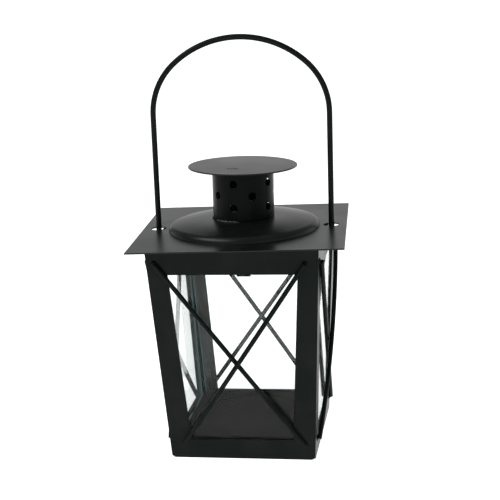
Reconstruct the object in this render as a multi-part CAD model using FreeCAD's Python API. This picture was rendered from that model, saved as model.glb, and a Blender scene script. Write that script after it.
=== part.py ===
"""Small square candle lantern of black painted sheet metal with a lift-up lid.

Frame: +Z up, the origin at the middle of the foot, the front side faces -Y.
All sizes are millimetres. Every side of the body is the same set of pieces,
made once facing the front and turned round the Z axis to its place.
"""
import math
import os

import FreeCAD
import Part

Vec = FreeCAD.Vector
X_AXIS = Vec(1, 0, 0)
Y_AXIS = Vec(0, 1, 0)
Z_AXIS = Vec(0, 0, 1)
CENTRE = Vec(0, 0, 0)
SIDES = ("front", "right", "back", "left")
CUT = 5.0                     # how far a cutting tool runs past the material

# Body: four tapered window frames on a raised floor
FOOT_WIDTH = 77.0
TOP_WIDTH = 89.6
BODY_HEIGHT = 116.9
FRAME_SHEET = 0.9
WINDOW_FOOT = 10.6            # heights of the window's lower and upper edges
WINDOW_HEAD = 102.4
WINDOW_FOOT_WIDTH = 54.6
WINDOW_HEAD_WIDTH = 67.0
FOOT_CORNER_RADIUS = 2.3
TAPER = math.degrees(math.atan((TOP_WIDTH - FOOT_WIDTH) / 2 / BODY_HEIGHT))
SLOPE_RUN = 1 / math.cos(math.radians(TAPER))     # length along the wall per mm of height
SIDE_SLOPE = (TOP_WIDTH - FOOT_WIDTH) / 2 / (BODY_HEIGHT * SLOPE_RUN)
WINDOW_LENGTH = (WINDOW_HEAD - WINDOW_FOOT) * SLOPE_RUN
WINDOW_SLOPE = (WINDOW_HEAD_WIDTH - WINDOW_FOOT_WIDTH) / 2 / WINDOW_LENGTH

# Floor: an inverted tray with a ring pressed into it for the tealight
FLOOR_SHEET = 0.8
FLOOR_HEIGHT = 10.8
FLOOR_WIDTH = 68.4
FLOOR_CORNER_RADIUS = 3.0
RING_RADIUS = 28.5
RING_TUBE_RADIUS = 1.6
RING_RISE = 0.5

# Glass panes and the bent strips that hold them
GLASS_THICKNESS = 2.0
GLASS_OVERLAP = 3.3           # lap over the frame above and below the window
GLASS_SIDE_OVERLAP = 7.0      # lap beside the window, nearly to the body's corners
CLIP_WIDTH = 7.2
CLIP_STRIP = 0.6
CLIP_FOOT = 3.0
TOP_CLIP_OFFSET = 5.6
BOTTOM_CLIP_OFFSET = -9.5
TOP_CLIP_SHOWS = 1.7
BOTTOM_CLIP_SHOWS = 0.6

# Crossed wires on every side
BRACE_RADIUS = 1.25
LOWER_BRACE_TOP_INSET = 4.6   # from the frame edge to the end of a wire
LOWER_BRACE_FOOT_INSET = 5.6
UPPER_BRACE_TOP_INSET = 6.9
UPPER_BRACE_FOOT_INSET = 8.1
BRACE_HEAD = 108.2
BRACE_FOOT = 8.9
WELD_SINK = 0.1
WIRE_GAP = 0.03

# Lid: roof plate with a pressed dome, chimney tube and cap
ROOF_SIDE = 110.0
ROOF_SHEET = 0.7
DOME_RADIUS = 40.7
DOME_SHOULDER = 3.4           # width and height of the rounded rise at its rim
DOME_RISE = 5.8
DOME_SEAT_RADIUS = 17.8
TUBE_RADIUS = 16.4
TUBE_WALL = 0.8
TUBE_LENGTH = 27.0
VENT_RADIUS = 2.15
VENTS_PER_ROW = 5
VENT_ROW_PITCH = 6.5
VENT_TURN = -13.0
CAP_RADIUS = 29.1
CAP_THICKNESS = 0.8
CAP_EDGE_RADIUS = 0.25
CHIMNEY_LEAN = 1.3            # the tube is welded on a little out of upright
LID_TURN = 3.5                # the lid and the handle sit a little askew on the body

# Handle: one bent wire that hooks into slots in the side frames
WIRE_RADIUS = 1.5
LEG_SPAN = 93.4
HANDLE_HOLE_RADIUS = 4.25
HOOK_DROP = 5.2
HOOK_BEND_RADIUS = 2.5
HOOK_INNER_END = 38.5
HOOK_CLEARANCE = 1.1          # above and below the hook in its slot
ARCH_START = 178.4
ARCH_TOP = 218.4
SHOULDER_RADIUS = 35.8
HANDLE_LEAN = 0.8             # the play in the slots lets the handle lean sideways

FRAME_LENGTH = BODY_HEIGHT * SLOPE_RUN
HOOK_HEIGHT = BODY_HEIGHT - HOOK_DROP
ROOF_TOP = BODY_HEIGHT + ROOF_SHEET
TUBE_BASE = ROOF_TOP + DOME_RISE
TUBE_TOP = TUBE_BASE + TUBE_LENGTH


# ---------------------------------------------------------------- helpers
def prism(points, direction):
    """Solid made by pushing a closed outline of points along a direction."""
    outline = Part.makePolygon(points + points[:1])
    return Part.Face(outline).extrude(direction)


def slab(width, depth, z_low, z_high):
    """Box centred on the Z axis."""
    corner = Vec(-width / 2, -depth / 2, z_low)
    return Part.makeBox(width, depth, z_high - z_low, corner)


def rounded_block(width, height, radius):
    """Square block on the XY plane with its upright edges rounded."""
    block = slab(width, width, 0, height)
    upright = [edge for edge in block.Edges if abs(edge.tangentAt(0).z) > 0.99]
    return block.makeFillet(radius, upright)


def pipe(edges, radius):
    """Round wire swept along joined edges."""
    path = Part.Wire(edges)
    start = path.Edges[0]
    first = start.FirstParameter
    section = Part.makeCircle(radius, start.valueAt(first), start.tangentAt(first))
    return path.makePipeShell([Part.Wire(section)], True, False)


def frame_half_width(along):
    """Half the width of a side frame at a distance up its face."""
    return FOOT_WIDTH / 2 + SIDE_SLOPE * along


def window_half_width(along):
    """Half the width of the window, on the same measure up the face."""
    return WINDOW_FOOT_WIDTH / 2 + WINDOW_SLOPE * (along - WINDOW_FOOT * SLOPE_RUN)


def lean(shape):
    """Tilt a piece drawn on an upright wall onto the leaning front wall."""
    leaning = shape.copy()
    leaning.rotate(CENTRE, X_AXIS, TAPER)
    leaning.translate(Vec(0, -FOOT_WIDTH / 2, 0))
    return leaning


def on_side(shape, number):
    """Turn a front piece to side 0 front, 1 right, 2 back or 3 left."""
    turned = shape.copy()
    turned.rotate(CENTRE, Z_AXIS, 90 * number)
    return turned


def leaned(shape, angle, height):
    """Lean a lid or handle piece towards +X about a level line at a height."""
    leaning = shape.copy()
    leaning.rotate(Vec(0, 0, height), Y_AXIS, angle)
    return leaning


def askew(shape):
    """Turn a lid or handle piece to where it sits on the body."""
    turned = shape.copy()
    turned.rotate(CENTRE, Z_AXIS, LID_TURN)
    return turned


# ------------------------------------------------- pieces of the front wall
def window_outline(grow, side_grow, y):
    """Corners of the window, or of a larger pane behind it, at depth y."""
    low = WINDOW_FOOT * SLOPE_RUN - grow
    high = WINDOW_HEAD * SLOPE_RUN + grow
    half_low = window_half_width(low) + side_grow
    half_high = window_half_width(high) + side_grow
    return [
        Vec(-half_low, y, low),
        Vec(half_low, y, low),
        Vec(half_high, y, high),
        Vec(-half_high, y, high),
    ]


def wall_wedge():
    """Quarter of the body that the front wall may fill, mitred at 45 degrees."""
    reach = TOP_WIDTH
    corners = [Vec(0, 0, 0), Vec(-reach, -reach, 0), Vec(reach, -reach, 0)]
    return prism(corners, Vec(0, 0, BODY_HEIGHT))


def foot_corner_cutter(sign):
    """Tool that rounds one bottom corner of the wall."""
    centre_x = FOOT_WIDTH / 2 - FOOT_CORNER_RADIUS
    block = Part.makeBox(
        FOOT_CORNER_RADIUS + CUT, 2 * CUT, FOOT_CORNER_RADIUS + CUT, Vec(centre_x, -CUT, -CUT)
    )
    round_bar = Part.makeCylinder(
        FOOT_CORNER_RADIUS, 4 * CUT, Vec(centre_x, -2 * CUT, FOOT_CORNER_RADIUS), Vec(0, 1, 0)
    )
    cutter = block.cut(round_bar)
    if sign < 0:
        cutter.rotate(CENTRE, Z_AXIS, 180)
    return cutter


def hook_slot():
    """Slot in a side frame for the end of the handle wire."""
    travel = LEG_SPAN / 2 * math.sin(math.radians(LID_TURN))
    radius = WIRE_RADIUS + HOOK_CLEARANCE
    height = HOOK_HEIGHT * SLOPE_RUN
    slot = Part.makeBox(2 * travel, 2 * CUT, 2 * radius, Vec(-travel, -CUT, height - radius))
    for end in (-travel, travel):
        round_end = Part.makeCylinder(radius, 2 * CUT, Vec(end, -CUT, height), Vec(0, 1, 0))
        slot = slot.fuse(round_end)
    return slot


def side_frame(with_slot):
    """Window frame of the front wall, cut from one flat sheet."""
    sheet = Part.makeBox(
        2 * TOP_WIDTH, FRAME_SHEET, FRAME_LENGTH + 2 * CUT, Vec(-TOP_WIDTH, 0, -CUT)
    )
    window = prism(window_outline(0, 0, -CUT), Vec(0, 2 * CUT, 0))
    frame = sheet.cut(window)
    for sign in (-1, 1):
        frame = frame.cut(foot_corner_cutter(sign))
    if with_slot:
        frame = frame.cut(hook_slot())
    return lean(frame).common(wall_wedge())


def glass_pane():
    """Pane behind the window, lapping the frame all round."""
    outline = window_outline(GLASS_OVERLAP, GLASS_SIDE_OVERLAP, FRAME_SHEET)
    return lean(prism(outline, Vec(0, GLASS_THICKNESS, 0)))


def clip(grip):
    """Strip that lies on the frame, steps over the glass edge and holds it.

    Drawn pointing up from the glass edge at z = 0, centred on x = 0.
    """
    wall = FRAME_SHEET
    back = wall + GLASS_THICKNESS
    profile = [
        (wall, -CLIP_FOOT),
        (wall, 0),
        (back, 0),
        (back, grip),
        (back + CLIP_STRIP, grip),
        (back + CLIP_STRIP, -CLIP_STRIP),
        (wall + CLIP_STRIP, -CLIP_STRIP),
        (wall + CLIP_STRIP, -CLIP_FOOT),
    ]
    corners = [Vec(-CLIP_WIDTH / 2, y, z) for y, z in profile]
    return prism(corners, Vec(CLIP_WIDTH, 0, 0))


def placed_clip(grip, angle, x, z):
    """Clip turned about the wall's normal and moved to a glass edge."""
    strip = clip(grip)
    strip.rotate(CENTRE, Vec(0, 1, 0), angle)
    strip.translate(Vec(x, 0, z))
    return strip


def glass_clips():
    """Two clips of one pane, at its top and its bottom."""
    glass_foot = WINDOW_FOOT * SLOPE_RUN - GLASS_OVERLAP
    glass_head = WINDOW_HEAD * SLOPE_RUN + GLASS_OVERLAP
    clips = [
        placed_clip(GLASS_OVERLAP + BOTTOM_CLIP_SHOWS, 0, BOTTOM_CLIP_OFFSET, glass_foot),
        placed_clip(GLASS_OVERLAP + TOP_CLIP_SHOWS, 180, TOP_CLIP_OFFSET, glass_head),
    ]
    return Part.makeCompound([lean(strip) for strip in clips])


def brace_end(sign, height, inset, y):
    """Centre of a brace wire's end on the wall."""
    along = height * SLOPE_RUN
    return Vec(sign * (frame_half_width(along) - inset), y, along)


def seated(wire):
    """Flatten a wire where it is welded down on the wall."""
    inside = Part.makeBox(2 * TOP_WIDTH, TOP_WIDTH, 2 * FRAME_LENGTH, Vec(-TOP_WIDTH, 0, -CUT))
    return lean(wire.cut(inside))


def lower_brace():
    """Straight wire from the top left to the bottom right of the wall."""
    seat = WELD_SINK - BRACE_RADIUS
    top = brace_end(-1, BRACE_HEAD, LOWER_BRACE_TOP_INSET, seat)
    foot = brace_end(1, BRACE_FOOT, LOWER_BRACE_FOOT_INSET, seat)
    run = foot - top
    return seated(Part.makeCylinder(BRACE_RADIUS, run.Length, top, run))


def upper_brace():
    """Wire from top right to bottom left, bowed out over the lower one."""
    seat = WELD_SINK - BRACE_RADIUS
    top = brace_end(1, BRACE_HEAD, UPPER_BRACE_TOP_INSET, seat)
    foot = brace_end(-1, BRACE_FOOT, UPPER_BRACE_FOOT_INSET, seat)
    crossing = top.x / (top.x - foot.x)
    off_middle = 2 * crossing - 1
    bow = (2 * BRACE_RADIUS + WIRE_GAP) / (1 - off_middle ** 2)
    middle = (top + foot) / 2 - Vec(0, bow, 0)
    return seated(pipe([Part.Arc(top, middle, foot).toShape()], BRACE_RADIUS))


# ------------------------------------------------------------------- floor
def base_plate():
    """Inverted tray: a rim between the frames and a raised floor with a ring."""
    rim_width = FOOT_WIDTH - 2 * FRAME_SHEET * SLOPE_RUN
    rim = rounded_block(rim_width, FLOOR_SHEET, FLOOR_CORNER_RADIUS)
    tray = rounded_block(FLOOR_WIDTH, FLOOR_HEIGHT, FLOOR_CORNER_RADIUS)
    ring_centre = Vec(0, 0, FLOOR_HEIGHT + RING_RISE - RING_TUBE_RADIUS)
    ring = Part.makeTorus(RING_RADIUS, RING_TUBE_RADIUS, ring_centre)
    ring_hollow = Part.makeTorus(RING_RADIUS, RING_TUBE_RADIUS - FLOOR_SHEET, ring_centre)
    inner_width = FLOOR_WIDTH - 2 * FLOOR_SHEET
    inner_radius = FLOOR_CORNER_RADIUS - FLOOR_SHEET
    hollow = rounded_block(inner_width, FLOOR_HEIGHT, inner_radius)
    hollow.translate(Vec(0, 0, -FLOOR_SHEET))
    plate = rim.fuse([tray, ring]).cut([hollow, ring_hollow])
    return plate.removeSplitter()


# --------------------------------------------------------------------- lid
def dome_curve(drop, inward):
    """Edges of the dome's surface from its rim up to the flat seat."""
    rim = Vec(DOME_RADIUS - inward, 0, ROOF_TOP - drop)
    bulge = Vec(-0.28, 0, 0.62) * DOME_SHOULDER
    shoulder = rim + Vec(-1, 0, 1) * DOME_SHOULDER
    seat = Vec(DOME_SEAT_RADIUS, 0, ROOF_TOP + DOME_RISE - drop)
    crown = (shoulder + seat) / 2 + Vec(0, 0, 0.1 * DOME_RISE)
    return [
        Part.Arc(rim, rim + bulge, shoulder).toShape(),
        Part.Arc(shoulder, crown, seat).toShape(),
    ]


def roof_plate():
    """Square sheet with the dome pressed up round the chimney opening."""
    opening = TUBE_RADIUS - TUBE_WALL
    flat_radius = DOME_RADIUS + 1.0
    top_curve = dome_curve(0, 0)
    under_curve = dome_curve(ROOF_SHEET, ROOF_SHEET / 2)
    outer_top = Vec(flat_radius, 0, ROOF_TOP)
    outer_under = Vec(flat_radius, 0, BODY_HEIGHT)
    inner_top = Vec(opening, 0, TUBE_BASE)
    inner_under = Vec(opening, 0, TUBE_BASE - ROOF_SHEET)
    section = Part.Wire(Part.__sortEdges__([
        Part.makeLine(outer_top, top_curve[0].Vertexes[0].Point),
        *top_curve,
        Part.makeLine(top_curve[1].Vertexes[-1].Point, inner_top),
        Part.makeLine(inner_top, inner_under),
        Part.makeLine(inner_under, under_curve[1].Vertexes[-1].Point),
        *under_curve,
        Part.makeLine(under_curve[0].Vertexes[0].Point, outer_under),
        Part.makeLine(outer_under, outer_top),
    ]))
    dome = Part.Face(section).revolve(CENTRE, Z_AXIS, 360)
    sheet = slab(ROOF_SIDE, ROOF_SIDE, BODY_HEIGHT, ROOF_TOP)
    tools = [Part.makeCylinder(flat_radius, CUT, Vec(0, 0, BODY_HEIGHT - CUT / 2))]
    for x in (-LEG_SPAN / 2, LEG_SPAN / 2):
        hole = Part.makeCylinder(HANDLE_HOLE_RADIUS, CUT, Vec(x, 0, BODY_HEIGHT - CUT / 2))
        tools.append(hole)
    return askew(sheet.cut(tools).fuse(dome).removeSplitter())


def chimney_tube():
    """Tube with three staggered rows of round vents."""
    sunk = Vec(0, 0, TUBE_BASE - CUT)
    outer = Part.makeCylinder(TUBE_RADIUS, TUBE_LENGTH + CUT, sunk)
    bore = Part.makeCylinder(TUBE_RADIUS - TUBE_WALL, TUBE_LENGTH + CUT, sunk)
    step = 360 / VENTS_PER_ROW
    vents = []
    for row in (-1, 0, 1):
        height = TUBE_BASE + TUBE_LENGTH / 2 + row * VENT_ROW_PITCH
        row_turn = VENT_TURN + (step / 2 if row == 0 else 0)
        for number in range(VENTS_PER_ROW):
            angle = math.radians(-90 + row_turn + number * step)
            outward = Vec(math.cos(angle), math.sin(angle), 0)
            start = outward * (TUBE_RADIUS - CUT) + Vec(0, 0, height)
            vents.append(Part.makeCylinder(VENT_RADIUS, 2 * CUT, start, outward))
    tube = leaned(outer.cut([bore] + vents), CHIMNEY_LEAN, TUBE_BASE)
    below_seat = slab(ROOF_SIDE, ROOF_SIDE, 0, TUBE_BASE)
    return askew(tube.cut(below_seat))


def chimney_cap():
    """Flat round cap on top of the tube."""
    disc = Part.makeCylinder(CAP_RADIUS, CAP_THICKNESS, Vec(0, 0, TUBE_TOP))
    rims = [edge for edge in disc.Edges if isinstance(edge.Curve, Part.Circle)]
    return askew(leaned(disc.makeFillet(CAP_EDGE_RADIUS, rims), CHIMNEY_LEAN, TUBE_BASE))


# ------------------------------------------------------------------ handle
def arc_about(centre, radius, start, end):
    """Arc in the XZ plane between two angles in degrees, measured from +X."""
    points = []
    for angle in (start, (start + end) / 2, end):
        turn = math.radians(angle)
        points.append(centre + Vec(radius * math.cos(turn), 0, radius * math.sin(turn)))
    return Part.Arc(*points).toShape()


def handle():
    """Wire bail: hooks, straight legs, round shoulders and a flatter crown."""
    leg = LEG_SPAN / 2
    shoulder_x = leg - SHOULDER_RADIUS
    rise = ARCH_TOP - ARCH_START
    crown_radius = (shoulder_x ** 2 + rise ** 2 - SHOULDER_RADIUS ** 2) / (2 * (rise - SHOULDER_RADIUS))
    crown_centre = Vec(0, 0, ARCH_TOP - crown_radius)
    shoulder_turn = math.degrees(math.atan2(ARCH_START - crown_centre.z, shoulder_x))
    bend_height = HOOK_HEIGHT + HOOK_BEND_RADIUS
    bend_x = leg - HOOK_BEND_RADIUS

    edges = [
        Part.makeLine(Vec(-HOOK_INNER_END, 0, HOOK_HEIGHT), Vec(-bend_x, 0, HOOK_HEIGHT)),
        arc_about(Vec(-bend_x, 0, bend_height), HOOK_BEND_RADIUS, 270, 180),
        Part.makeLine(Vec(-leg, 0, bend_height), Vec(-leg, 0, ARCH_START)),
        arc_about(Vec(-shoulder_x, 0, ARCH_START), SHOULDER_RADIUS, 180, 180 - shoulder_turn),
        arc_about(crown_centre, crown_radius, 180 - shoulder_turn, shoulder_turn),
        arc_about(Vec(shoulder_x, 0, ARCH_START), SHOULDER_RADIUS, shoulder_turn, 0),
        Part.makeLine(Vec(leg, 0, ARCH_START), Vec(leg, 0, bend_height)),
        arc_about(Vec(bend_x, 0, bend_height), HOOK_BEND_RADIUS, 0, -90),
        Part.makeLine(Vec(bend_x, 0, HOOK_HEIGHT), Vec(HOOK_INNER_END, 0, HOOK_HEIGHT)),
    ]
    return askew(leaned(pipe(edges, WIRE_RADIUS), HANDLE_LEAN, HOOK_HEIGHT))


# ------------------------------------------------------------------ export
def all_pieces():
    """Every named piece of the lantern in its place."""
    pieces = {
        "base_plate": base_plate(),
        "roof_plate": roof_plate(),
        "chimney_tube": chimney_tube(),
        "chimney_cap": chimney_cap(),
        "handle": handle(),
    }
    for number, side in enumerate(SIDES):
        takes_hook = side in ("right", "left")
        wall = {
            "frame": side_frame(takes_hook),
            "glass": glass_pane(),
            "clips": glass_clips(),
            "brace_lower": lower_brace(),
            "brace_upper": upper_brace(),
        }
        for name, shape in wall.items():
            pieces[f"{side}_{name}"] = on_side(shape, number)
    return pieces


def main():
    os.makedirs("parts", exist_ok=True)
    for name, shape in all_pieces().items():
        shape.exportStep(f"parts/{name}.step")
        low, high = shape.BoundBox.ZMin, shape.BoundBox.ZMax
        print(f"{name:18s} solids {len(shape.Solids)} valid {shape.isValid()} "
              f"volume {shape.Volume:9.1f}  z {low:6.1f} to {high:6.1f}")


if __name__ == "__main__":
    main()
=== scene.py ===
"""Small black candle lantern: paint, glass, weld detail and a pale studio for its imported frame."""
import math
import random

import bmesh
import bpy
from mathutils import Matrix, Vector, noise


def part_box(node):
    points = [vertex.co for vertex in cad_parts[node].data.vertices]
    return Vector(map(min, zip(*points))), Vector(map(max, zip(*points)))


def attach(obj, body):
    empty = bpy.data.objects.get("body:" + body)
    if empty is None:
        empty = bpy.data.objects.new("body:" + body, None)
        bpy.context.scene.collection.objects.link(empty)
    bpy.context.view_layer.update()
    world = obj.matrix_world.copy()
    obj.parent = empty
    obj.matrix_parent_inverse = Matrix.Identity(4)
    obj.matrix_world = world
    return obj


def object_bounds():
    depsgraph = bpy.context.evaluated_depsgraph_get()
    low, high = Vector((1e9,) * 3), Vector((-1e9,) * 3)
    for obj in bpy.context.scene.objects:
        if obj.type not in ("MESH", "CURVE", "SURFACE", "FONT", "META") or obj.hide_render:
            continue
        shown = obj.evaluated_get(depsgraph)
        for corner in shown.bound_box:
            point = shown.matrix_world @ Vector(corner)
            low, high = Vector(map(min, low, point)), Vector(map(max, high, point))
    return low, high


bl_info = {
    "name": "Candle Lantern",
    "version": (1, 0, 0),
    "blender": (4, 5, 0),
    "location": "View3D > Sidebar > Lantern",
    "description": "Paints, glazes and stages a small sheet-metal candle lantern",
    "category": "Object",
}

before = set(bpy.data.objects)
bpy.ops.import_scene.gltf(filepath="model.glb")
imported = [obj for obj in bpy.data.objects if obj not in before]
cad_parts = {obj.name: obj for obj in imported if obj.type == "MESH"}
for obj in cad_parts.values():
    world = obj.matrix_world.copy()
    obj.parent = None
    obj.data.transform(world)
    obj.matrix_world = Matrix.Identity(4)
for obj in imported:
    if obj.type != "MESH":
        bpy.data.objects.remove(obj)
CAD_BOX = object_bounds()
MM = 0.001
SIDES = ("front", "right", "back", "left")
SPOT_SINK = 1.2 * MM                  # from a wire's middle down to the wall under it
END_REACH = 2.5 * MM                  # height of the part of a wire taken as its end
BEAD_RUNS = ((-178, 5), (-134, 12), (70, 8))      # start in degrees and number of lumps
BEAD_STEP = 3.6                       # degrees from one lump of a bead to the next
MARK_COUNT = 4
LUMP_SWELL = 0.22                     # how unevenly a lump of weld metal swells
FLOOR_RADIUS = 30.0
FLOOR_GAP = 0.05 * MM                 # keeps the studio floor clear of the lantern's foot
SOFT_BOX_SIZE = (0.9, 0.6)
SENSOR_WIDTH = 36.0                   # millimetres
OVERHEAD_SPAN = (0.44, 0.26)          # view directions between which the wall fades
FRONT_SPAN = (-0.8, 0.5)
LEFT_SPAN = (-1.0, -0.2)
HORIZON_SPAN = (0.14, 0.05)
OUTWARD = {
    "front": (0, -1, 0),
    "right": (1, 0, 0),
    "back": (0, 1, 0),
    "left": (-1, 0, 0),
}


# ------------------------------------------------------------ settings
class PaintSettings(bpy.types.PropertyGroup):
    """Black paint on the sheet metal and the wires.

    The refraction indices are set for this pale stage. They are lower than
    those of real paint, which lies near 1.5, and need raising for darker surroundings.
    """

    colour: bpy.props.FloatVectorProperty(
        name="Colour", description="Base colour of the paint", subtype="COLOR",
        size=3, min=0, max=1, default=(0.0036, 0.0062, 0.0054))
    dust_colour: bpy.props.FloatVectorProperty(
        name="Dust colour", description="Colour of the paler patches in the paint",
        subtype="COLOR", size=3, min=0, max=1, default=(0.014, 0.0138, 0.0125))
    gloss_roughness: bpy.props.FloatProperty(
        name="Roughness", description="Roughness of the paint where it lies smooth",
        subtype="FACTOR", min=0, max=1, default=0.3)
    lid_ior: bpy.props.FloatProperty(
        name="Lid IOR", description="Refraction index of the paint on roof plate and cap",
        min=1, max=2, default=1.29)
    body_ior: bpy.props.FloatProperty(
        name="Body IOR", description="Refraction index of the paint on frames and clips",
        min=1, max=2, default=1.16)
    wire_ior: bpy.props.FloatProperty(
        name="Wire IOR", description="Refraction index of the paint on handle and cross wires",
        min=1, max=2, default=1.14)
    tube_ior: bpy.props.FloatProperty(
        name="Tube IOR", description="Refraction index of the paint on the chimney tube",
        min=1, max=2, default=1.14)
    floor_ior: bpy.props.FloatProperty(
        name="Floor IOR", description="Refraction index of the dull paint on the tealight floor",
        min=1, max=2, default=1.055)
    floor_colour: bpy.props.FloatVectorProperty(
        name="Floor colour", description="Colour of the dull paint on the tealight floor",
        subtype="COLOR", size=3, min=0, max=1, default=(0.0048, 0.0044, 0.004))
    tube_colour: bpy.props.FloatVectorProperty(
        name="Tube colour", description="Colour of the darker paint on the chimney tube",
        subtype="COLOR", size=3, min=0, max=1, default=(0.0015, 0.0016, 0.0016))
    edge_round: bpy.props.FloatProperty(
        name="Edge rounding", description="How far the paint rounds over a sheet edge",
        subtype="DISTANCE", unit="LENGTH", min=0, default=0.22 * MM)


class GlassSettings(bpy.types.PropertyGroup):
    """The four panes.

    The refraction indices are set for this pale stage, below the 1.52 of real
    window glass, and the light in the cut edges is the material's own.
    """

    tint: bpy.props.FloatVectorProperty(
        name="Tint", description="Colour of light that passes the glass", subtype="COLOR",
        size=3, min=0, max=1, default=(0.96, 0.987, 0.976))
    front_ior: bpy.props.FloatProperty(
        name="Front pane IOR", description="Refraction index of the front pane",
        min=1, max=2, default=1.21)
    other_ior: bpy.props.FloatProperty(
        name="Other panes IOR", description="Refraction index of the other three panes",
        min=1, max=2, default=1.3)
    dust_film: bpy.props.FloatProperty(
        name="Dust film", description="Share of light the dust on the other panes scatters",
        subtype="FACTOR", min=0, max=1, default=0.03)
    edge_glow_colour: bpy.props.FloatVectorProperty(
        name="Edge colour", description="Colour of the light given off by a pane's cut edges",
        subtype="COLOR", size=3, min=0, max=1, default=(0.3, 0.62, 0.6))
    edge_glow: bpy.props.FloatProperty(
        name="Edge glow", description="Strength of the light given off by the cut edges",
        min=0, default=0.22)


class WeldSettings(bpy.types.PropertyGroup):
    """Weld marks on the lid and on the cross wires."""

    bead_radius: bpy.props.FloatProperty(
        name="Bead radius", description="Thickness of the weld bead round the tube's foot",
        subtype="DISTANCE", unit="LENGTH", min=0, default=0.8 * MM)
    bead_ior: bpy.props.FloatProperty(
        name="Bead IOR", description="Refraction index of the glossy weld bead",
        min=1, max=2, default=1.4)
    spot_radius: bpy.props.FloatProperty(
        name="Spot radius", description="Radius of the spot weld at a wire's end",
        subtype="DISTANCE", unit="LENGTH", min=0, default=1.7 * MM)
    spot_height: bpy.props.FloatProperty(
        name="Spot height", description="How far a spot weld stands up from the sheet",
        subtype="DISTANCE", unit="LENGTH", min=0, default=0.8 * MM)
    spot_past_end: bpy.props.FloatProperty(
        name="Spot past end", description="How far a spot weld sits past its wire's end",
        subtype="DISTANCE", unit="LENGTH", min=0, default=0.6 * MM)
    mark_radius: bpy.props.FloatProperty(
        name="Mark radius", description="Radius of one of the low weld marks on the cap",
        subtype="DISTANCE", unit="LENGTH", min=0, default=0.9 * MM)
    mark_height: bpy.props.FloatProperty(
        name="Mark height", description="How far a weld mark stands up from the cap",
        subtype="DISTANCE", unit="LENGTH", min=0, default=0.08 * MM)
    mark_pitch: bpy.props.FloatProperty(
        name="Mark pitch", description="Distance from one weld mark to the next",
        subtype="DISTANCE", unit="LENGTH", min=0, default=1.5 * MM)
    mark_start: bpy.props.FloatVectorProperty(
        name="Mark start", description="First weld mark, seen from the middle of the cap",
        subtype="TRANSLATION", unit="LENGTH", size=2, default=(-2.2 * MM, -11.5 * MM))


class StageSettings(bpy.types.PropertyGroup):
    """Camera, floor and light."""

    camera_place: bpy.props.FloatVectorProperty(
        name="Camera place", description="Where the camera stands", subtype="TRANSLATION",
        unit="LENGTH", size=3, default=(0.1097, -0.6232, 0.2592))
    camera_turn: bpy.props.FloatProperty(
        name="Camera turn", description="How far the camera looks to the left of +Y",
        subtype="ANGLE", default=0.1705)
    camera_dip: bpy.props.FloatProperty(
        name="Camera dip", description="How far the camera looks below level",
        subtype="ANGLE", default=0.24)
    camera_roll: bpy.props.FloatProperty(
        name="Camera roll", description="Turn of the camera about its own view line",
        subtype="ANGLE", default=-0.0482)
    lens: bpy.props.FloatProperty(
        name="Lens", description="Focal length on a 36 mm sensor, in millimetres",
        min=1, default=86.7)
    floor_colour: bpy.props.FloatVectorProperty(
        name="Floor colour", description="Colour of the plain floor", subtype="COLOR",
        size=3, min=0, max=1, default=(0.85, 0.85, 0.85))
    floor_glow: bpy.props.FloatProperty(
        name="Floor glow", description="Strength of the light that the floor gives off itself",
        min=0, default=0.95)
    sky_strength: bpy.props.FloatProperty(
        name="Sky strength", description="Brightness of the pale surroundings",
        min=0, default=0.9)
    overhead: bpy.props.FloatProperty(
        name="Overhead share", description="Brightness overhead as a share of the wall behind",
        subtype="FACTOR", min=0, max=1, default=0.45)
    front: bpy.props.FloatProperty(
        name="Front share", description="Brightness in front as a share of the wall behind",
        subtype="FACTOR", min=0, max=1, default=0.75)
    left: bpy.props.FloatProperty(
        name="Left share", description="Brightness at the left as a share of the wall behind",
        subtype="FACTOR", min=0, max=1, default=0.3)
    lamp_power: bpy.props.FloatProperty(
        name="Lamp power", description="Power of the soft box above and to the left",
        subtype="POWER", unit="POWER", min=0, default=9.0)
    lamp_place: bpy.props.FloatVectorProperty(
        name="Lamp place", description="Where the soft box hangs", subtype="TRANSLATION",
        unit="LENGTH", size=3, default=(-0.7, -0.5, 1.1))


SETTINGS = {
    "lantern_paint": PaintSettings,
    "lantern_glass": GlassSettings,
    "lantern_welds": WeldSettings,
    "lantern_stage": StageSettings,
}


# ------------------------------------------------------- node helpers
class Nodes:
    """Small helper that adds and joins the nodes of one material."""

    def __init__(self, material):
        material.use_nodes = True
        self.tree = material.node_tree
        self.tree.nodes.clear()
        self.shader = self.add("ShaderNodeBsdfPrincipled")
        output = self.add("ShaderNodeOutputMaterial")
        self.join(self.shader, "BSDF", output, "Surface")
        self.place = self.add("ShaderNodeTexCoord")

    def add(self, kind, **inputs):
        node = self.tree.nodes.new(kind)
        for name, value in inputs.items():
            node.inputs[name.replace("_", " ")].default_value = value
        return node

    def join(self, source, output, target, socket):
        self.tree.links.new(source.outputs[output], target.inputs[socket])

    def noise(self, scale, detail, roughness):
        texture = self.add("ShaderNodeTexNoise", Scale=scale, Detail=detail, Roughness=roughness)
        self.join(self.place, "Object", texture, "Vector")
        return texture

    def ramp(self, source, output, stops):
        """Colour ramp of (position, grey or colour) stops fed by a source."""
        ramp = self.add("ShaderNodeValToRGB")
        elements = ramp.color_ramp.elements
        while len(elements) < len(stops):
            elements.new(0.5)
        for element, (position, colour) in zip(elements, stops):
            element.position = position
            grey = isinstance(colour, float)
            element.color = (colour,) * 3 + (1,) if grey else (*colour, 1)
        self.join(source, output, ramp, "Fac")
        return ramp

    def blend(self, factor, output, low, high):
        """Mix of two plain colours by a factor node."""
        mix = self.add("ShaderNodeMix")
        mix.data_type = "RGBA"
        mix.inputs[6].default_value = (*low, 1)
        mix.inputs[7].default_value = (*high, 1)
        self.join(factor, output, mix, 0)
        return mix


def new_material(name):
    """Empty node material and the helper that fills it."""
    material = bpy.data.materials.new(name)
    return material, Nodes(material)


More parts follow.
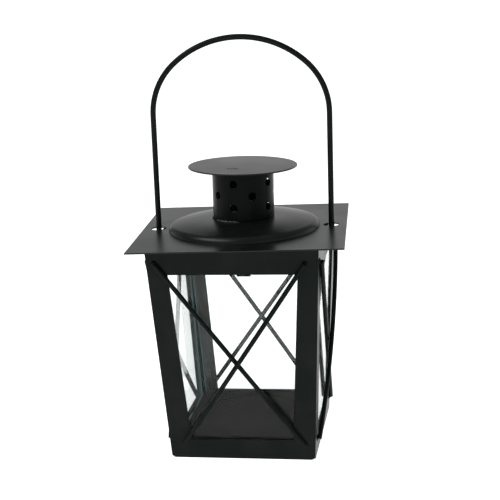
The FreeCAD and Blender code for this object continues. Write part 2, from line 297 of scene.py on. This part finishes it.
def bumps(nodes, layers, normal=None):
    """Chain of bump nodes; each layer is (height node, output, strength, distance)."""
    last = normal
    for height, output, strength, distance in layers:
        bump = nodes.add("ShaderNodeBump", Strength=strength, Distance=distance)
        nodes.join(height, output, bump, "Height")
        if last is not None:
            nodes.join(last, "Normal", bump, "Normal")
        last = bump
    nodes.join(last, "Normal", nodes.shader, "Normal")


def paint_material(name, paint, peel_scale=800.0, peel=0.1, **changes):
    """Sprayed semi-gloss black: orange peel, faint dust, worn sheen and soft edges.

    The named changes replace the paint's own colour, dust, smooth or ior.
    """
    material, nodes = new_material(name)
    shader = nodes.shader
    shader.inputs["Metallic"].default_value = 0.0
    shader.inputs["IOR"].default_value = changes.get("ior", paint.body_ior)
    base = tuple(changes.get("colour", paint.colour))
    dusty = tuple(changes.get("dust", paint.dust_colour))
    smooth = changes.get("smooth", paint.gloss_roughness)

    dust = nodes.noise(scale=38.0, detail=6.0, roughness=0.62)
    dust_map = nodes.ramp(dust, "Fac", [(0.46, 0.0), (0.78, 0.75)])
    colour = nodes.blend(dust_map, "Color", base, dusty)
    nodes.join(colour, "Result", shader, "Base Color")

    smears = nodes.noise(scale=16.0, detail=4.0, roughness=0.55)
    sheen_map = nodes.ramp(smears, "Fac", [(0.3, smooth - 0.03), (0.72, smooth + 0.07)])
    nodes.join(sheen_map, "Color", shader, "Roughness")

    rounded = nodes.add("ShaderNodeBevel", Radius=paint.edge_round)
    rounded.samples = 4
    peel_map = nodes.noise(scale=peel_scale, detail=1.0, roughness=0.4)
    wave_map = nodes.noise(scale=22.0, detail=1.0, roughness=0.4)
    bumps(nodes, [
        (wave_map, "Fac", 0.1, 1.2 * MM),
        (peel_map, "Fac", peel, 0.05 * MM),
    ], rounded)
    return material


def glass_material(name, glass, facing, ior, film):
    """Clear float glass: faint smears, a dust film, tiny ripples and a painted green glow on the cut
    edges.

    The pane's large faces look along the facing axis, X or Y.
    """
    material, nodes = new_material(name)
    shader = nodes.shader
    shader.inputs["IOR"].default_value = ior
    smears = nodes.noise(scale=30.0, detail=5.0, roughness=0.6)
    film_map = nodes.ramp(smears, "Fac", [(0.3, 1 - 0.6 * film), (0.75, 1 - 1.6 * film)])
    nodes.join(film_map, "Color", shader, "Transmission Weight")
    haze = nodes.ramp(smears, "Fac", [(0.45, 0.0), (0.85, 0.035)])
    nodes.join(haze, "Color", shader, "Roughness")
    deep = tuple(channel * 0.97 for channel in glass.tint)
    colour = nodes.blend(smears, "Fac", tuple(glass.tint), deep)
    nodes.join(colour, "Result", shader, "Base Color")
    # Painted glow: the cut edges give off green light of their own, in place of light carried
    # through the glass.
    shader.inputs["Emission Color"].default_value = (*glass.edge_glow_colour, 1)
    nodes.join(cut_edges(nodes, facing, glass.edge_glow), "Result", shader, "Emission Strength")
    ripple = nodes.noise(scale=12.0, detail=1.0, roughness=0.4)
    bumps(nodes, [(ripple, "Fac", 0.02, 0.5 * MM)])
    return material


def cut_edges(nodes, facing, glow):
    """Painted glow on the faces of a pane that don't look along its facing axis."""
    split = nodes.add("ShaderNodeSeparateXYZ")
    nodes.join(nodes.place, "Normal", split, "Vector")
    size = nodes.add("ShaderNodeMath")
    size.operation = "ABSOLUTE"
    nodes.join(split, facing, size, 0)
    edge = nodes.add("ShaderNodeMapRange")
    edge.inputs["From Min"].default_value = 0.6
    edge.inputs["From Max"].default_value = 0.4
    edge.inputs["To Max"].default_value = glow
    nodes.join(size, "Value", edge, "Value")
    return edge


def floor_material(colour, glow):
    """Plain pale studio floor that gives off light itself, so that no shadow shows."""
    material, nodes = new_material("studio_floor")
    shader = nodes.shader
    shader.inputs["Emission Color"].default_value = (1, 1, 1, 1)
    shader.inputs["Emission Strength"].default_value = glow
    shader.inputs["Roughness"].default_value = 0.85
    grain = nodes.noise(scale=6.0, detail=4.0, roughness=0.5)
    dim = tuple(channel * 0.985 for channel in colour)
    shade = nodes.blend(grain, "Fac", dim, tuple(colour))
    nodes.join(shade, "Result", shader, "Base Color")
    bumps(nodes, [(grain, "Fac", 0.02, 1.0 * MM)])
    return material


def give(node_names, material):
    """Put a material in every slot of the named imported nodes."""
    for name in node_names:
        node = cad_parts[name]
        for slot in node.material_slots:
            slot.material = material


# ------------------------------------------------------- mesh helpers
def new_piece(name, mesh_builder, material, body):
    """Object from a bmesh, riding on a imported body."""
    mesh = bpy.data.meshes.new(name)
    mesh_builder.to_mesh(mesh)
    mesh_builder.free()
    for face in mesh.polygons:
        face.use_smooth = True
    mesh.materials.append(material)
    piece = bpy.data.objects.new(name, mesh)
    bpy.context.scene.collection.objects.link(piece)
    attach(piece, body)
    return piece


def lump(builder, centre, radii, normal, seed):
    """Low lumpy blob of weld metal sunk into a surface."""
    made = bmesh.ops.create_icosphere(builder, subdivisions=3, radius=1.0)
    turn = normal.to_track_quat("Z", "Y").to_matrix()
    for vert in made["verts"]:
        swell = 1 + LUMP_SWELL * noise.noise(vert.co * 1.9 + Vector((seed, seed * 0.7, 0)))
        local = Vector(axis * radius * swell for axis, radius in zip(vert.co, radii))
        vert.co = centre + turn @ local


def node_points(name):
    """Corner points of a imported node's mesh."""
    return [vert.co.copy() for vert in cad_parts[name].data.vertices]


def wire_end(points, top):
    """Middle of a wire's upper or lower end face."""
    edge = (max if top else min)(point.z for point in points)
    near = [point for point in points if abs(point.z - edge) < END_REACH]
    return sum(near, Vector()) / len(near)


def wall_normal(side):
    """Outward normal of a leaning side frame."""
    points = node_points(f"{side}_frame")
    outward = Vector(OUTWARD[side])
    low = min(points, key=lambda point: point.z - point.dot(outward))
    high = max(points, key=lambda point: point.z + point.dot(outward))
    rise = high.z - low.z
    spread = (high - low).dot(outward)
    return (outward * rise - Vector((0, 0, spread))).normalized()


def cap_slope(points):
    """Rise of the cap's leaning top per length towards -X."""
    left = min(points, key=lambda point: point.x)
    right = max(points, key=lambda point: point.x)
    return (left.z - right.z) / (right.x - left.x)


def cap_drop(points, slope, place):
    """How far the cap's top at a place lies below its highest point."""
    return (place.x - min(point.x for point in points)) * slope


# ---------------------------------------------------------- operators
class LANTERN_OT_paint_sheet(bpy.types.Operator):
    """Paint the frames, roof plate and cap, the dull floor and the darker tube"""

    bl_idname = "lantern.paint_sheet"
    bl_label = "Paint the sheet metal"

    def execute(self, context):
        paint = context.scene.lantern_paint
        lid = paint_material("black_lid_paint", paint, ior=paint.lid_ior)
        give(["roof_plate", "chimney_cap"], lid)
        frames = paint_material("black_frame_paint", paint)
        give([f"{side}_frame" for side in SIDES], frames)
        floor = paint_material(
            "black_floor_paint", paint,
            colour=paint.floor_colour, smooth=0.6, ior=paint.floor_ior)
        give(["base_plate"], floor)
        tube = paint_material(
            "black_tube_paint", paint,
            colour=paint.tube_colour, dust=paint.colour, smooth=0.26, ior=paint.tube_ior)
        give(["chimney_tube"], tube)
        return {"FINISHED"}


class LANTERN_OT_paint_wires(bpy.types.Operator):
    """Paint the handle and the crossed wires"""

    bl_idname = "lantern.paint_wires"
    bl_label = "Paint the wires"

    def execute(self, context):
        paint = context.scene.lantern_paint
        names = ["handle"]
        for side in SIDES:
            names += [f"{side}_brace_lower", f"{side}_brace_upper"]
        wire_paint = paint_material(
            "black_wire_paint", paint,
            peel_scale=1300.0, peel=0.14, smooth=0.22, ior=paint.wire_ior)
        give(names, wire_paint)
        return {"FINISHED"}


class LANTERN_OT_paint_clips(bpy.types.Operator):
    """Paint the bent strips that hold the glass"""

    bl_idname = "lantern.paint_clips"
    bl_label = "Paint the clips"

    def execute(self, context):
        paint = context.scene.lantern_paint
        clip_paint = paint_material(
            "black_clip_paint", paint, peel_scale=1500.0, peel=0.2, smooth=0.38)
        give([f"{side}_clips" for side in SIDES], clip_paint)
        return {"FINISHED"}


class LANTERN_OT_glaze(bpy.types.Operator):
    """Give the four panes their glass"""

    bl_idname = "lantern.glaze"
    bl_label = "Glaze the windows"

    def execute(self, context):
        glass = context.scene.lantern_glass
        film, ior = glass.dust_film, glass.other_ior
        front_glass = glass_material("front_pane_glass", glass, "Y", glass.front_ior, 0.0)
        give(["front_glass"], front_glass)
        give(["back_glass"], glass_material("back_pane_glass", glass, "Y", ior, film))
        side_glass = glass_material("side_pane_glass", glass, "X", ior, film)
        give(["right_glass", "left_glass"], side_glass)
        return {"FINISHED"}


class LANTERN_OT_spot_welds(bpy.types.Operator):
    """Blend the ends of the crossed wires into the frames with spot welds"""

    bl_idname = "lantern.spot_welds"
    bl_label = "Spot weld the wires"

    def execute(self, context):
        welds = context.scene.lantern_welds
        paint = context.scene.lantern_paint
        draw = random.Random(3)
        builder = bmesh.new()
        for side in SIDES:
            normal = wall_normal(side)
            for wire in ("lower", "upper"):
                points = node_points(f"{side}_brace_{wire}")
                top, foot = wire_end(points, True), wire_end(points, False)
                past_end = (top - foot).normalized() * welds.spot_past_end
                self.spot(builder, top + past_end, normal, welds, draw)
                self.spot(builder, foot - past_end, normal, welds, draw)
        spot_paint = paint_material(
            "black_spot_paint", paint, peel_scale=1200.0, peel=0.2, colour=paint.tube_colour)
        new_piece("wire_spot_welds", builder, spot_paint, "body")
        return {"FINISHED"}

    def spot(self, builder, place, normal, welds, draw):
        """Flat lumpy button that sits on the wall under a wire's end."""
        size = welds.spot_radius * draw.uniform(0.9, 1.15)
        centre = place - normal * SPOT_SINK
        radii = (size, size * 0.9, welds.spot_height)
        lump(builder, centre, radii, normal, draw.uniform(0, 50))


class LANTERN_OT_cap_marks(bpy.types.Operator):
    """Leave the low weld marks that show through the paint on the cap"""

    bl_idname = "lantern.cap_marks"
    bl_label = "Mark the cap"

    def execute(self, context):
        welds = context.scene.lantern_welds
        points = node_points("chimney_cap")
        middle = sum(points, Vector()) / len(points)
        lean = cap_slope(points)
        upward = Vector((lean, 0, 1)).normalized()
        radii = (welds.mark_radius, welds.mark_radius * 0.6, welds.mark_height)
        draw = random.Random(11)
        builder = bmesh.new()
        for step in range(MARK_COUNT):
            place = middle + Vector((*welds.mark_start, 0))
            place.x += step * welds.mark_pitch
            place.y += draw.uniform(-0.5, 0.5) * MM
            place.z = max(point.z for point in points) - cap_drop(points, lean, place)
            lump(builder, place, radii, upward, step)
        lid_paint = bpy.data.materials["black_lid_paint"]
        new_piece("cap_weld_marks", builder, lid_paint, "lid")
        return {"FINISHED"}


class LANTERN_OT_tube_bead(bpy.types.Operator):
    """Run short lumpy weld beads round the foot of the chimney tube"""

    bl_idname = "lantern.tube_bead"
    bl_label = "Weld the chimney tube"

    def execute(self, context):
        welds = context.scene.lantern_welds
        low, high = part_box("chimney_tube")
        radius = (high.x - low.x) / 2
        centre = (low + high) / 2
        draw = random.Random(7)
        builder = bmesh.new()
        for start, count in BEAD_RUNS:
            for step in range(count):
                angle = math.radians(start + step * BEAD_STEP + draw.uniform(-1.0, 1.0))
                outward = Vector((math.cos(angle), math.sin(angle), 0))
                place = Vector((centre.x, centre.y, low.z)) + outward * radius
                place.z += draw.uniform(0.05, 0.35) * MM
                size = welds.bead_radius * draw.uniform(0.85, 1.25)
                radii = (size * 1.3, size, size * 0.8)
                slanted = (outward + Vector((0, 0, 1))).normalized()
                lump(builder, place, radii, slanted, start + step)
        bead_paint = paint_material(
            "black_bead_paint", context.scene.lantern_paint,
            peel_scale=1600.0, peel=0.4, smooth=0.2, ior=welds.bead_ior)
        new_piece("tube_weld_beads", builder, bead_paint, "lid")
        return {"FINISHED"}


class LANTERN_OT_stage(bpy.types.Operator):
    """Set the pale floor, soft light and camera"""

    bl_idname = "lantern.stage"
    bl_label = "Set the stage"

    def execute(self, context):
        settings = context.scene.lantern_stage
        self.floor(settings)
        self.sky(context.scene, settings)
        self.soft_box(settings)
        self.camera(context.scene, settings)
        context.scene.view_settings.view_transform = "Standard"
        return {"FINISHED"}

    def floor(self, settings):
        """Round plain floor just under the lantern's foot."""
        builder = bmesh.new()
        bmesh.ops.create_circle(builder, cap_ends=True, segments=96, radius=FLOOR_RADIUS)
        mesh = bpy.data.meshes.new("studio_floor")
        builder.to_mesh(mesh)
        builder.free()
        mesh.materials.append(floor_material(settings.floor_colour, settings.floor_glow))
        floor = bpy.data.objects.new("studio_floor", mesh)
        floor.location.z = -FLOOR_GAP
        bpy.context.scene.collection.objects.link(floor)

    def sky(self, scene, settings):
        """Pale wall all round, brightest at the horizon and behind the lantern."""
        world = bpy.data.worlds.new("pale_studio")
        world.use_nodes = True
        scene.world = world
        tree = world.node_tree
        background = tree.nodes["Background"]
        background.inputs["Strength"].default_value = settings.sky_strength
        place = tree.nodes.new("ShaderNodeTexCoord")
        split = tree.nodes.new("ShaderNodeSeparateXYZ")
        tree.links.new(place.outputs["Generated"], split.inputs["Vector"])
        overhead = self.fade(tree, split.outputs["Z"], OVERHEAD_SPAN, settings.overhead)
        front = self.fade(tree, split.outputs["Y"], FRONT_SPAN, settings.front)
        left = self.fade(tree, split.outputs["X"], LEFT_SPAN, settings.left)
        horizon = self.fade(tree, split.outputs["Z"], HORIZON_SPAN, 0.0)
        wall = self.combine(tree, "MULTIPLY", overhead, front)
        wall = self.combine(tree, "MULTIPLY", wall, left)
        wall = self.combine(tree, "MAXIMUM", wall, horizon)
        tree.links.new(wall, background.inputs["Color"])

    def combine(self, tree, operation, first, second):
        """Product or maximum of two brightnesses."""
        node = tree.nodes.new("ShaderNodeMath")
        node.operation = operation
        tree.links.new(first, node.inputs[0])
        tree.links.new(second, node.inputs[1])
        return node.outputs["Value"]

    def fade(self, tree, direction, span, share):
        """Brightness from a share at the span's start to the full wall at its end."""
        ramp = tree.nodes.new("ShaderNodeMapRange")
        ramp.inputs["From Min"].default_value = span[0]
        ramp.inputs["From Max"].default_value = span[1]
        ramp.inputs["To Min"].default_value = share
        tree.links.new(direction, ramp.inputs["Value"])
        return ramp.outputs["Result"]

    def soft_box(self, settings):
        """One broad soft lamp above and to the left, aimed at the lantern's middle."""
        lamp = bpy.data.lights.new("soft_box", "AREA")
        lamp.shape = "RECTANGLE"
        lamp.size, lamp.size_y = SOFT_BOX_SIZE
        lamp.energy = settings.lamp_power
        holder = bpy.data.objects.new("soft_box", lamp)
        holder.location = settings.lamp_place
        low, high = CAD_BOX
        aim = (low + high) / 2 - holder.location
        holder.rotation_euler = aim.to_track_quat("-Z", "Y").to_euler()
        bpy.context.scene.collection.objects.link(holder)

    def camera(self, scene, settings):
        """Long-lens camera a little above and to the right of the front side."""
        lens = bpy.data.cameras.new("camera")
        lens.lens = settings.lens
        lens.sensor_width = SENSOR_WIDTH
        lens.clip_start = 0.01
        camera = bpy.data.objects.new("camera", lens)
        turn = Matrix.Rotation(settings.camera_turn, 4, "Z")
        dip = Matrix.Rotation(math.pi / 2 - settings.camera_dip, 4, "X")
        roll = Matrix.Rotation(settings.camera_roll, 4, "Z")
        camera.matrix_world = Matrix.Translation(settings.camera_place) @ turn @ dip @ roll
        scene.collection.objects.link(camera)
        scene.camera = camera


OPERATORS = (
    LANTERN_OT_paint_sheet,
    LANTERN_OT_paint_wires,
    LANTERN_OT_paint_clips,
    LANTERN_OT_glaze,
    LANTERN_OT_spot_welds,
    LANTERN_OT_tube_bead,
    LANTERN_OT_cap_marks,
    LANTERN_OT_stage,
)


class LANTERN_PT_panel(bpy.types.Panel):
    """Sidebar panel with the lantern's settings and steps"""

    bl_label = "Candle lantern"
    bl_idname = "LANTERN_PT_panel"
    bl_space_type = "VIEW_3D"
    bl_region_type = "UI"
    bl_category = "Lantern"

    def draw(self, context):
        layout = self.layout
        for attribute, group in SETTINGS.items():
            box = layout.box()
            settings = getattr(context.scene, attribute)
            for name in group.__annotations__:
                box.prop(settings, name)
        for operator in OPERATORS:
            layout.operator(operator.bl_idname)


CLASSES = (*SETTINGS.values(), *OPERATORS, LANTERN_PT_panel)


def register():
    for cls in CLASSES:
        bpy.utils.register_class(cls)
    for attribute, group in SETTINGS.items():
        setattr(bpy.types.Scene, attribute, bpy.props.PointerProperty(type=group))


def unregister():
    for attribute in SETTINGS:
        delattr(bpy.types.Scene, attribute)
    for cls in reversed(CLASSES):
        bpy.utils.unregister_class(cls)


def main():
    """Run every step in order."""
    register()
    for operator in OPERATORS:
        group, name = operator.bl_idname.split(".")
        getattr(getattr(bpy.ops, group), name)()


if __name__ == "__main__":
    main()
